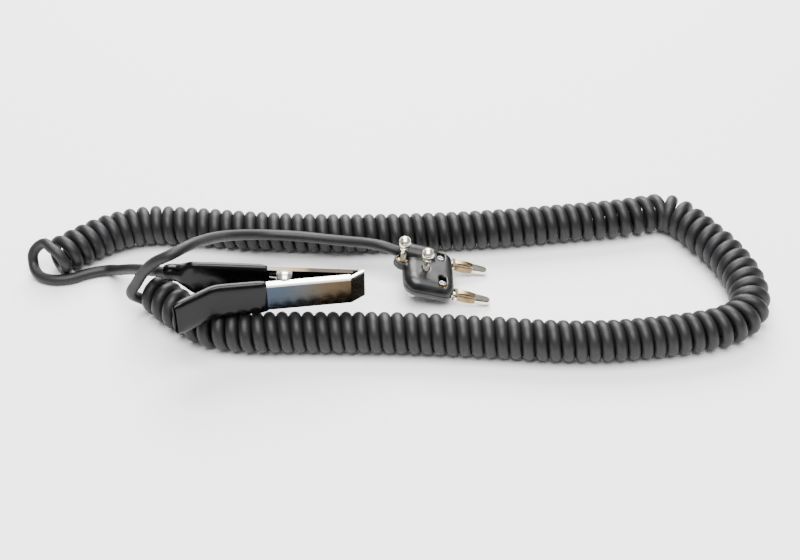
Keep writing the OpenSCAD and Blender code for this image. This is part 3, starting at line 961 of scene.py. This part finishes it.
# A quadratic Bezier reaches half way to its middle handle, so the bow is doubled
double = {0: given["Bow"], 1: 2.0}
twice = add_node(leaf_tree, "ShaderNodeMath", double, operation="MULTIPLY")
bowed = add_node(leaf_tree, "ShaderNodeMath", {0: given["Radius"], 1: twice.outputs[0]})
crest = {"X": halfway.outputs[0], "Z": bowed.outputs[0]}
bow_point = add_node(leaf_tree, "ShaderNodeCombineXYZ", crest)
line_inputs = {
    "Resolution": 14,
    "Start": start_point.outputs[0],
    "Middle": bow_point.outputs[0],
    "End": end_point.outputs[0],
}
leaf_line = add_node(leaf_tree, "GeometryNodeCurveQuadraticBezier", line_inputs)
sheet_sizes = {"Width": given["Width"], "Height": given["Sheet"]}
leaf_section = add_node(leaf_tree, "GeometryNodeCurvePrimitiveQuadrilateral", sheet_sizes)
leaf_skin = {
    "Curve": leaf_line.outputs["Curve"],
    "Profile Curve": leaf_section.outputs["Curve"],
    "Fill Caps": True,
}
leaf = add_node(leaf_tree, "GeometryNodeCurveToMesh", leaf_skin)
# One point for each leaf, all on the axis: only the turn of each copy differs
spots = add_node(leaf_tree, "GeometryNodePoints", {"Count": given["Leaves"]})
index = add_node(leaf_tree, "GeometryNodeInputIndex")
part = {0: index.outputs[0], 1: given["Leaves"]}
share = add_node(leaf_tree, "ShaderNodeMath", part, operation="DIVIDE")
whole_turn = {0: share.outputs[0], 1: 2 * math.pi}
spin = add_node(leaf_tree, "ShaderNodeMath", whole_turn, operation="MULTIPLY")
spin_axes = add_node(leaf_tree, "ShaderNodeCombineXYZ", {"X": spin.outputs[0]})
copies = {
    "Points": spots.outputs[0],
    "Instance": leaf.outputs["Mesh"],
    "Rotation": spin_axes.outputs[0],
}
cage = add_node(leaf_tree, "GeometryNodeInstanceOnPoints", copies)
end_tree(leaf_tree, cage.outputs[0], given["Finish"])

# %% Pins and their leaves
pin_pitch = 19.05
leaf_end = 8.6
core_radius = 1.5
nose_radius = pin_diameter / 2
tip_radius = 1.8
collar_radius = 2.6
collar_length = 1.2
chamfer = 0.15
root_radius = 1.2
root_depth = 8
tip_profile = [(abs(x), pin_length - tip_radius + y) for x, y in arc(0, 0, tip_radius, 0, 90, 8)]
# The collar stands a hair off the shell's face
face = 0.02
pin_profile = [
    (root_radius, -root_depth),
    (root_radius, face),
    (collar_radius - chamfer, face),
    (collar_radius, face + chamfer),
    (collar_radius, collar_length - chamfer),
    (collar_radius - chamfer, collar_length),
    (core_radius, collar_length + 0.05),
    (core_radius, leaf_end),
    (nose_radius - 0.25, leaf_end + 0.05),
    (nose_radius, leaf_end + 0.35),
    (nose_radius, leaf_end + 2),
    (nose_radius - 0.1, pin_length - 3),
    *tip_profile[1:],
]
along_pin = Matrix.Rotation(math.pi / 2, 4, "Y")
leaf_values = {
    "Leaves": 4,
    "Start": collar_length,
    "End": leaf_end + 0.2,
    "Radius": 1.7,
    "Bow": 0.45,
    "Width": 2.1,
    "Sheet": 0.25,
    "Finish": leaf_bronze,
}
for row, side_sign in (("front", -1), ("rear", 1)):
    sideways = Matrix.Translation((0, side_sign * pin_pitch / 2, 0))
    pin_place = plug_frame @ sideways @ along_pin
    pin = closed_object(row + "_pin_turning", lathe(pin_profile), pin_place)
    finish_piece(pin, pin_nickel, "root", (row + "_pin",), 35)
    cage_piece = run_nodes(row + "_pin_leaves", leaf_tree, leaf_values, plug_frame @ sideways)
    finish_piece(cage_piece, leaf_bronze, "root", (row + "_pin_spring",), 50)

# %% [markdown]
# ## Thumbscrews
# Each thumbscrew has a ball head for the fingers, a collar, and a threaded stem. All three are
# one turning, so one profile holds them, and the thread is a row of small ridges at its real
# pitch of half a millimetre.

# %% Thumbscrews
screw_lean = math.radians(10)
plug_thickness = 9
ball_radius = 2.6
ball_stand = 7.1
stem_radius = 1.25
tip_chamfer = 0.3
thread_pitch = 0.5
thread_depth = 0.18
thread_top = 2.2
screw_collar = 1.75
ball_seat = 1.5


def thumbscrew_profile(reach):
    """Stem with thread, collar and ball, from the stem's tip upwards."""
    points = [(0, -reach), (stem_radius - tip_chamfer, -reach)]
    for i in range(int((reach + thread_top) / thread_pitch)):
        z = -reach + 0.2 + i * thread_pitch
        points += [(stem_radius - thread_depth, z), (stem_radius, z + thread_pitch / 2)]
    neck = ball_stand - ball_radius
    points += [
        (stem_radius - 0.15, thread_top + 0.4),
        (stem_radius - 0.05, neck - 0.9),
        (screw_collar, neck - 0.6),
        (screw_collar, neck + 0.25),
    ]
    start = math.degrees(math.asin(ball_seat / ball_radius)) - 90
    ball = arc(0, ball_stand, ball_radius, start, 90, 18)
    return points + [(max(x, 0), y) for x, y in ball]


# Node, place on the plug, how far the stem reaches down, and body
screws = (
    ("cord_thumbscrew", (-22, 2.6), 4.2, "cord_screw"),
    ("middle_thumbscrew", (-12.6, -2), 5.4, "middle_screw"),
)
for node, at_xy, reach, body in screws:
    stand = Matrix.Translation((*at_xy, plug_thickness / 2)) @ Matrix.Rotation(-screw_lean, 4, "Y")
    piece = closed_object(node + "_turning", lathe(thumbscrew_profile(reach)), plug_frame @ stand)
    finish_piece(piece, screw_nickel, body, (node,), 40)

# %% [markdown]
# ## The small parts inside
# What sits inside the shells and the grip is rarely seen, and its CAD shape is already right.
# Those solids stay as they are and only get their metal.

# %% Metals of the carried-over solids
inside_metals = {
    "crimp_ferrule": tinned_copper,
    "clip_conductor": tinned_copper,
    "plug_conductor": tinned_copper,
    "contact_strap": leaf_bronze,
    "front_terminal": brass,
    "rear_terminal": brass,
    "clamp_block": brass,
    "lug_bush": brass,
    "set_screws": zinc_steel,
    "assembly_screws": zinc_steel,
}
for name, metal in inside_metals.items():
    solid = nodes[name]
    if not solid.material_slots:
        solid.data.materials.append(metal)
    for slot in solid.material_slots:
        slot.material = metal
print("metals given to", len(inside_metals), "solids")
